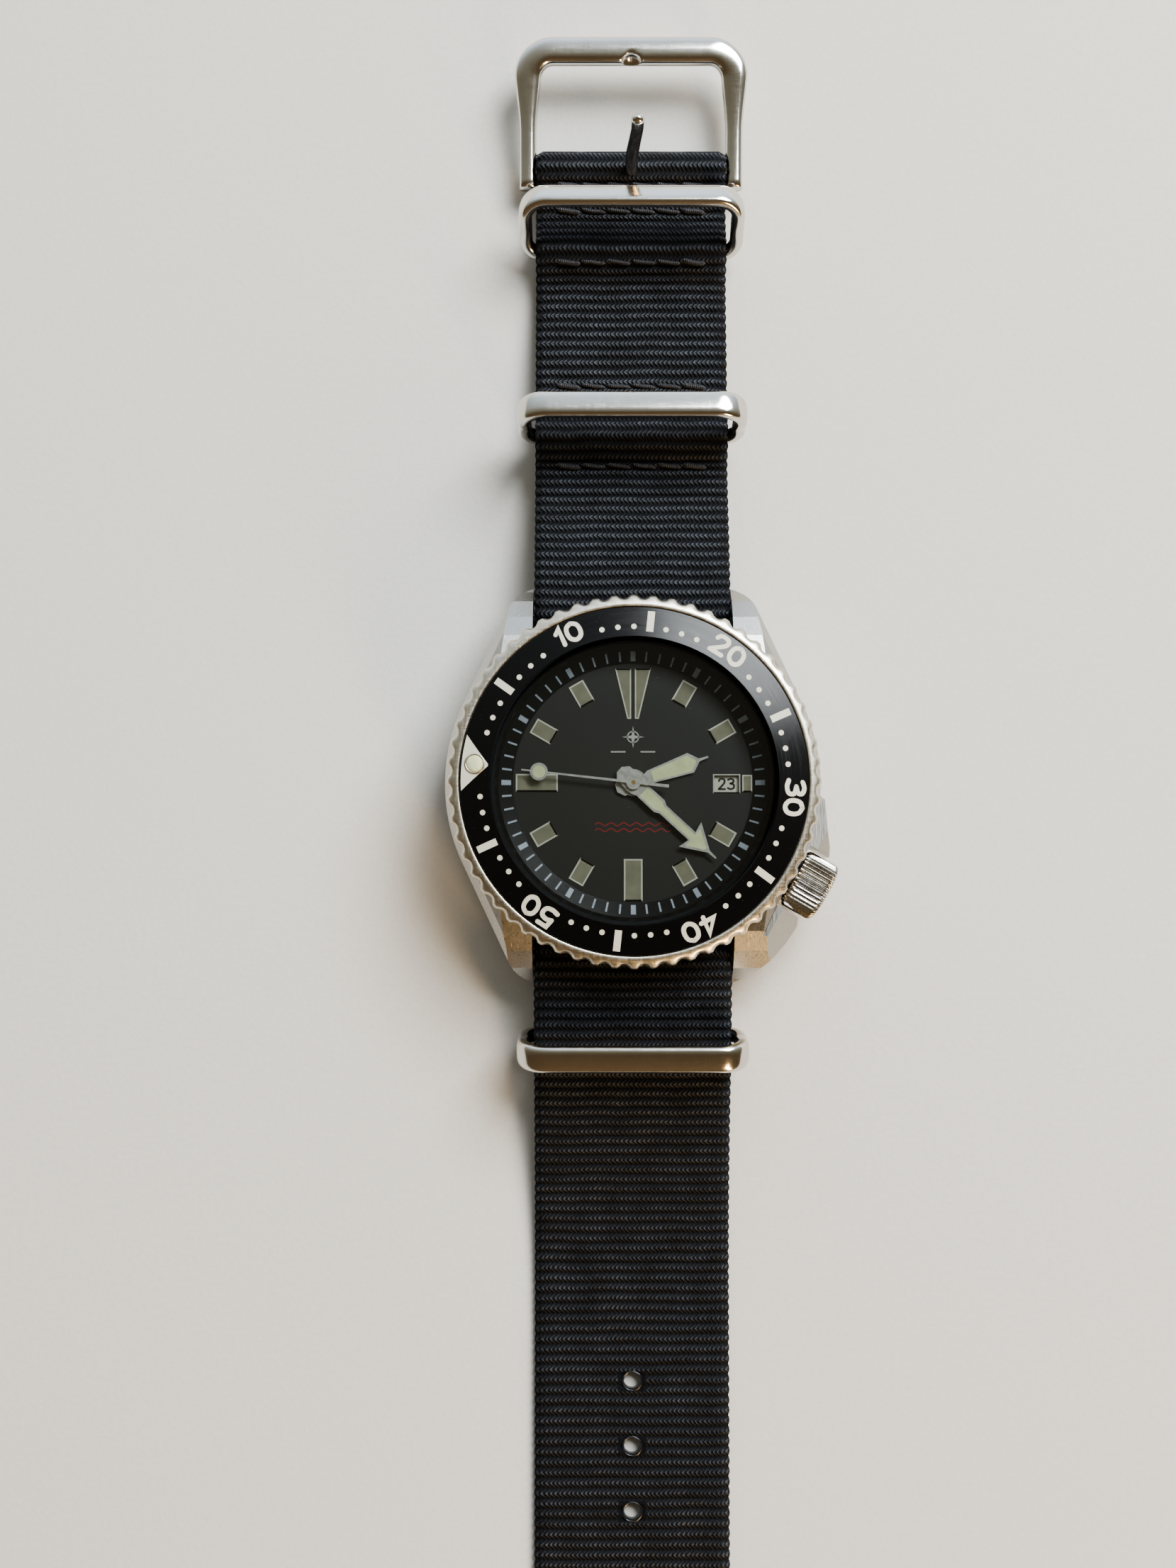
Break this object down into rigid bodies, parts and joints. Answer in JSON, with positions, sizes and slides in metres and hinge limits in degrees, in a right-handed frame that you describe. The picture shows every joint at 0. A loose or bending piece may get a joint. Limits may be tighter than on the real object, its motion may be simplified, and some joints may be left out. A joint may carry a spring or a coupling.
{
  "type": "automatic dive watch on a nylon pass-through strap",
  "caption": "Steel automatic dive watch with a turning coin-edge bezel, offset crown, date and a ribbed nylon strap that passes under the case, with buckle and keepers.",
  "frame": {"origin": "on the dial axis, on the plane that the underside of the strap rests on", "axes": "+Z from the wrist to the crystal, +Y to 12 o'clock along the strap, +X to 3 o'clock"},
  "size_m": [0.0441, 0.2428, 0.0152],
  "materials": {
    "polished_steel": "polished",
    "brushed_steel": "brushed",
    "spring_steel": "satin",
    "blued_steel": "polished",
    "black_insert": "gloss",
    "lume": "matte",
    "crystal": "clear",
    "black_rubber": "matte",
    "black_ring": "gloss",
    "dial_black": "satin",
    "white_plastic": "matte",
    "brass": "satin",
    "nickel_plate": "striped",
    "ruby": "polished",
    "black_nylon": "ribbed weave"
  },
  "bodies": {
    "case": {"mid_case": "brushed_steel", "crown_tube": "polished_steel", "case_back": "brushed_steel", "case_back_gasket": "black_rubber", "crystal": "crystal", "crystal_gasket": "black_rubber", "chapter_ring": "black_ring", "dial": "dial_black", "hour_markers": "lume", "movement_ring": "white_plastic", "main_plate": "brass", "train_bridge": "nickel_plate", "balance_cock": "nickel_plate", "jewels": "ruby", "bridge_screws": "blued_steel", "hairspring": "blued_steel", "click_spring": "spring_steel", "spring_bars": "spring_steel", "strap_under_case": "black_nylon", "under_strip_case": "black_nylon"},
    "bezel": {"bezel": "polished_steel", "bezel_insert": "black_insert", "bezel_pearl": "lume"},
    "clutch_wheel": {"clutch_wheel": "spring_steel"},
    "crown": {"crown": "polished_steel", "stem": "spring_steel", "crown_gasket": "black_rubber"},
    "minute_hand": {"minute_hand": "polished_steel", "minute_hand_lume": "lume", "cannon_pinion": "brass"},
    "hour_hand": {"hour_hand": "polished_steel", "hour_hand_lume": "lume", "hour_wheel": "brass"},
    "minute_wheel": {"minute_wheel": "brass"},
    "second_hand": {"second_hand": "polished_steel", "second_hand_lume": "lume", "fourth_wheel": "brass"},
    "third_wheel": {"third_wheel": "brass"},
    "centre_wheel": {"centre_wheel": "brass"},
    "barrel": {"barrel": "brass", "mainspring": "spring_steel"},
    "escape_wheel": {"escape_wheel": "spring_steel"},
    "pallet_fork": {"pallet_fork": "spring_steel"},
    "balance_wheel": {"balance_wheel": "brass"},
    "rotor": {"rotor": "nickel_plate"},
    "date_ring": {"date_ring": "white_plastic"},
    "strap_short_a": {"strap_short_a": "black_nylon", "under_strip_short": "black_nylon"},
    "strap_short_b": {"strap_short_b": "black_nylon"},
    "strap_tail_a": {"strap_tail_a": "black_nylon", "under_strip_tail": "black_nylon"},
    "strap_tail_b": {"strap_tail_b": "black_nylon"},
    "strap_tail_c": {"strap_tail_c": "black_nylon"},
    "strap_tail_d": {"strap_tail_d": "black_nylon"},
    "keeper_buckle": {"keeper_buckle": "polished_steel"},
    "keeper_middle": {"keeper_middle": "polished_steel"},
    "keeper_tail": {"keeper_tail": "polished_steel"},
    "buckle": {"buckle_frame": "polished_steel", "buckle_bar": "spring_steel"},
    "buckle_tongue": {"buckle_tongue": "spring_steel"}
  },
  "joints": [
    {"name": "bezel_turn", "type": "hinge", "parent": "case", "child": "bezel", "pos_m": [0, 0, 0], "axis": [0, 0, 1], "continuous": true},
    {"name": "crown_turn", "type": "hinge", "parent": "case", "child": "clutch_wheel", "pos_m": [0, 0, 0.0077], "axis": [0.866, -0.5, 0], "continuous": true},
    {"name": "crown_pull", "type": "slide", "parent": "clutch_wheel", "child": "crown", "axis": [0.866, -0.5, 0], "range_m": [0, 0.002]},
    {"name": "minute_hand_turn", "type": "hinge", "parent": "case", "child": "minute_hand", "pos_m": [0, 0, 0], "axis": [0, 0, 1], "continuous": true},
    {"name": "hour_hand_turn", "type": "hinge", "parent": "case", "child": "hour_hand", "pos_m": [0, 0, 0], "axis": [0, 0, 1], "continuous": true},
    {"name": "minute_wheel_turn", "type": "hinge", "parent": "case", "child": "minute_wheel", "pos_m": [-0.00249, 0.00144, 0], "axis": [0, 0, 1], "continuous": true},
    {"name": "second_hand_turn", "type": "hinge", "parent": "case", "child": "second_hand", "pos_m": [0, 0, 0], "axis": [0, 0, 1], "continuous": true},
    {"name": "third_wheel_turn", "type": "hinge", "parent": "case", "child": "third_wheel", "pos_m": [-0.0039, -0.00225, 0], "axis": [0, 0, 1], "continuous": true},
    {"name": "centre_wheel_turn", "type": "hinge", "parent": "case", "child": "centre_wheel", "pos_m": [0, 0, 0], "axis": [0, 0, 1], "continuous": true},
    {"name": "barrel_turn", "type": "hinge", "parent": "case", "child": "barrel", "pos_m": [0.00326, 0.00564, 0], "axis": [0, 0, 1], "continuous": true},
    {"name": "escape_wheel_turn", "type": "hinge", "parent": "case", "child": "escape_wheel", "pos_m": [0.0016, -0.0044, 0], "axis": [0, 0, 1], "continuous": true},
    {"name": "pallet_fork_rock", "type": "hinge", "parent": "case", "child": "pallet_fork", "pos_m": [0.00365, -0.0047, 0.0068], "axis": [0, 0, 1], "range_deg": [-5, 5]},
    {"name": "balance_swing", "type": "hinge", "parent": "case", "child": "balance_wheel", "pos_m": [0.00493, -0.00704, 0.0061], "axis": [0, 0, 1], "range_deg": [-270, 270]},
    {"name": "rotor_turn", "type": "hinge", "parent": "case", "child": "rotor", "pos_m": [0, 0, 0.0045], "axis": [0, 0, 1], "continuous": true},
    {"name": "date_ring_turn", "type": "hinge", "parent": "case", "child": "date_ring", "pos_m": [0, 0, 0.0089], "axis": [0, 0, 1], "continuous": true},
    {"name": "strap_bend_short", "type": "hinge", "parent": "case", "child": "strap_short_a", "pos_m": [0, 0.0194, 0.0059], "axis": [-1, 0, 0], "range_deg": [-15, 40]},
    {"name": "strap_fold_short", "type": "hinge", "parent": "strap_short_a", "child": "strap_short_b", "pos_m": [0, 0.05, 0.0021], "axis": [-1, 0, 0], "range_deg": [-15, 30]},
    {"name": "strap_bend_tail", "type": "hinge", "parent": "case", "child": "strap_tail_a", "pos_m": [0, -0.0194, 0.0059], "axis": [1, 0, 0], "range_deg": [-15, 40]},
    {"name": "strap_fold_tail_inner", "type": "hinge", "parent": "strap_tail_a", "child": "strap_tail_b", "pos_m": [0, -0.042, 0.00245], "axis": [1, 0, 0], "range_deg": [-20, 40]},
    {"name": "strap_fold_tail_middle", "type": "hinge", "parent": "strap_tail_b", "child": "strap_tail_c", "pos_m": [0, -0.068, 0.00065], "axis": [1, 0, 0], "range_deg": [-20, 40]},
    {"name": "strap_fold_tail_outer", "type": "hinge", "parent": "strap_tail_c", "child": "strap_tail_d", "pos_m": [0, -0.096, 0.00065], "axis": [1, 0, 0], "range_deg": [-20, 40]},
    {"name": "keeper_buckle_tilt", "type": "hinge", "parent": "strap_short_b", "child": "keeper_buckle", "pos_m": [0, 0.0623, 0.00225], "axis": [1, 0, 0], "range_deg": [-8, 60]},
    {"name": "keeper_middle_tilt", "type": "hinge", "parent": "strap_short_a", "child": "keeper_middle", "pos_m": [0, 0.0403, 0.00355], "axis": [1, 0, 0], "range_deg": [-30, 45]},
    {"name": "keeper_tail_tilt", "type": "hinge", "parent": "strap_tail_a", "child": "keeper_tail", "pos_m": [0, -0.0283, 0.0022], "axis": [-1, 0, 0], "range_deg": [-5, 15]},
    {"name": "buckle_swing", "type": "hinge", "parent": "strap_short_b", "child": "buckle", "pos_m": [0, 0.072, 0.00265], "axis": [1, 0, 0], "range_deg": [-15, 15]},
    {"name": "tongue_swing", "type": "hinge", "parent": "buckle", "child": "buckle_tongue", "pos_m": [0, 0.072, 0.00265], "axis": [1, 0, 0], "range_deg": [-63, 18]}
  ],
  "couplings": [
    {"joint": "hour_hand_turn", "follows": "minute_hand_turn", "ratio": 0.083333},
    {"joint": "minute_wheel_turn", "follows": "minute_hand_turn", "ratio": -0.33333},
    {"joint": "third_wheel_turn", "follows": "second_hand_turn", "ratio": -0.13333},
    {"joint": "centre_wheel_turn", "follows": "second_hand_turn", "ratio": 0.016667},
    {"joint": "barrel_turn", "follows": "second_hand_turn", "ratio": -0.0027778},
    {"joint": "escape_wheel_turn", "follows": "second_hand_turn", "ratio": -12}
  ]
}
